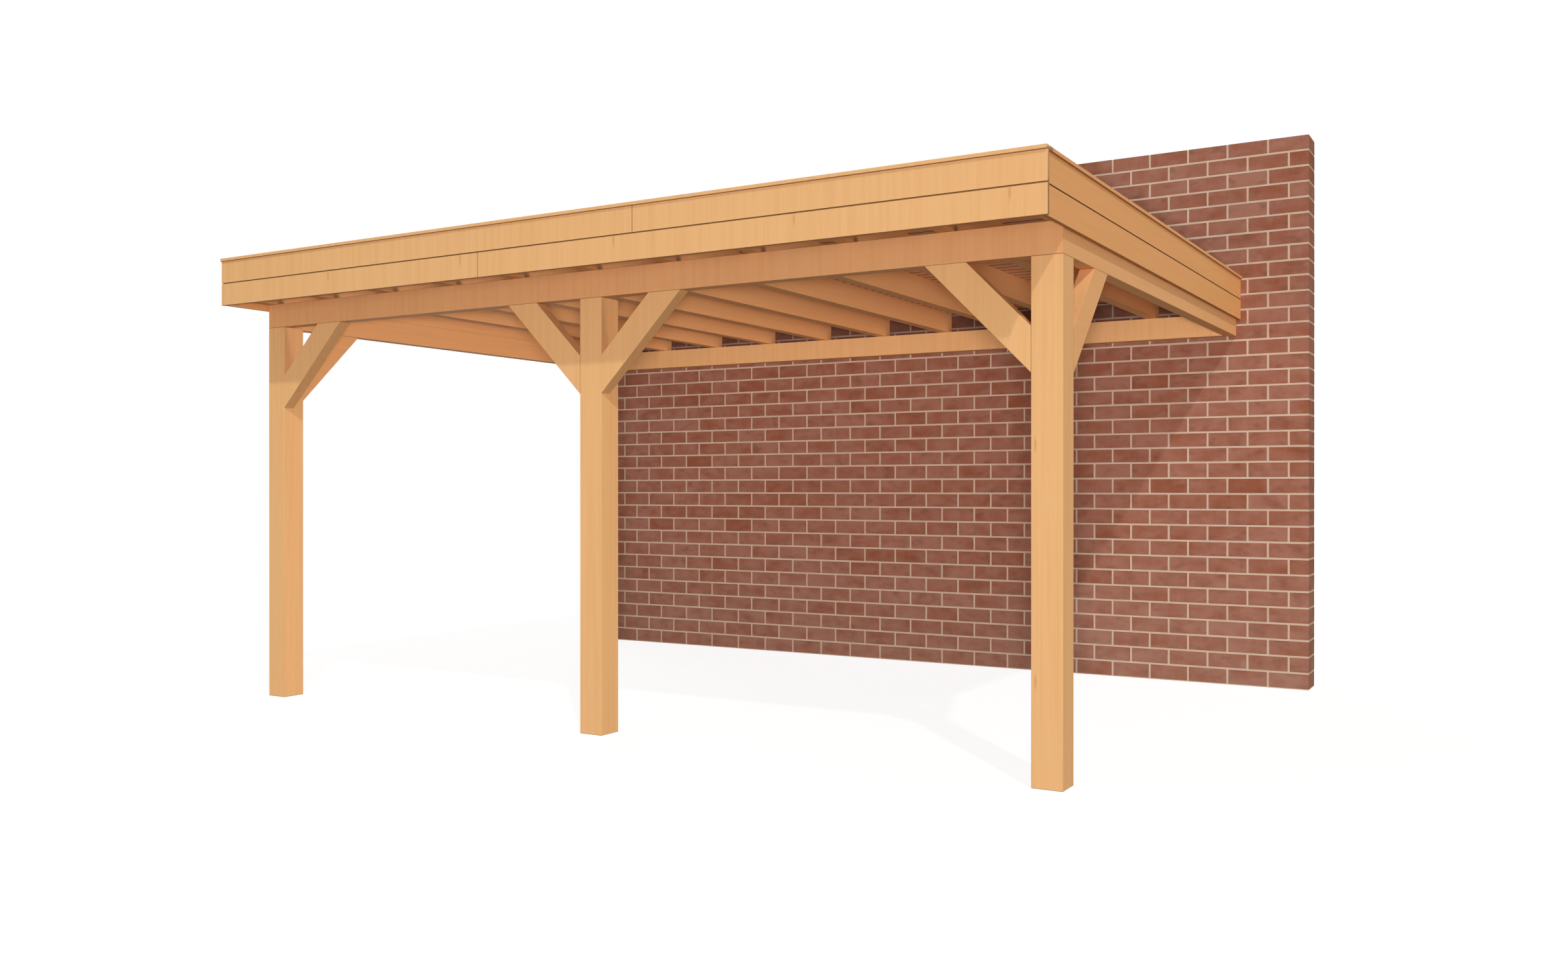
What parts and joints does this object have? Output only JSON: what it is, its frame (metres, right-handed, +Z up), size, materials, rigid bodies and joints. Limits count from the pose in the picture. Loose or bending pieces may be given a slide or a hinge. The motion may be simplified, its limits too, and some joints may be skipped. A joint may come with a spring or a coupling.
{
  "type": "lean-to timber veranda",
  "caption": "Flat-roofed open timber veranda with braced front posts, ring beam, level rafters and boarded fascia, carried at the back by a plate on a brick wall.",
  "frame": {"origin": "middle of the middle post's foot, on the ground", "axes": "+X to the right along the front, +Y back to the wall, +Z up"},
  "size_m": [5.759, 3.984, 3.5],
  "materials": {
    "planed_timber": "planed, oiled, matt",
    "fascia_timber": "planed, oiled, matt",
    "roof_boards": "planed, matt",
    "roofing_sheet": "matt sheet",
    "brickwork": "wire-cut face with flush mortar"
  },
  "bodies": {
    "root": {"post_left": "planed_timber", "post_middle": "planed_timber", "post_right": "planed_timber", "front_beam": "planed_timber", "side_beam_left": "planed_timber", "side_beam_right": "planed_timber", "wall_plate": "planed_timber", "brace_left_front": "planed_timber", "brace_middle_left": "planed_timber", "brace_middle_right": "planed_timber", "brace_right_front": "planed_timber", "brace_left_side": "planed_timber", "brace_right_side": "planed_timber", "rafter_01": "planed_timber", "rafter_02": "planed_timber", "rafter_03": "planed_timber", "rafter_04": "planed_timber", "rafter_05": "planed_timber", "rafter_06": "planed_timber", "rafter_07": "planed_timber", "rafter_08": "planed_timber", "rafter_09": "planed_timber", "rafter_10": "planed_timber", "rafter_11": "planed_timber", "kerb_front": "planed_timber", "kerb_left": "planed_timber", "kerb_right": "planed_timber", "fascia_packing_left": "planed_timber", "fascia_packing_right": "planed_timber", "front_fascia_lower_left": "fascia_timber", "front_fascia_lower_right": "fascia_timber", "front_fascia_upper_left": "fascia_timber", "front_fascia_upper_right": "fascia_timber", "left_fascia_lower": "fascia_timber", "left_fascia_upper": "fascia_timber", "right_fascia_lower": "fascia_timber", "right_fascia_upper": "fascia_timber", "trim_front": "fascia_timber", "trim_left": "fascia_timber", "trim_right": "fascia_timber", "roof_deck": "roof_boards", "roof_membrane": "roofing_sheet", "brick_wall": "brickwork"}
  },
  "joints": []
}
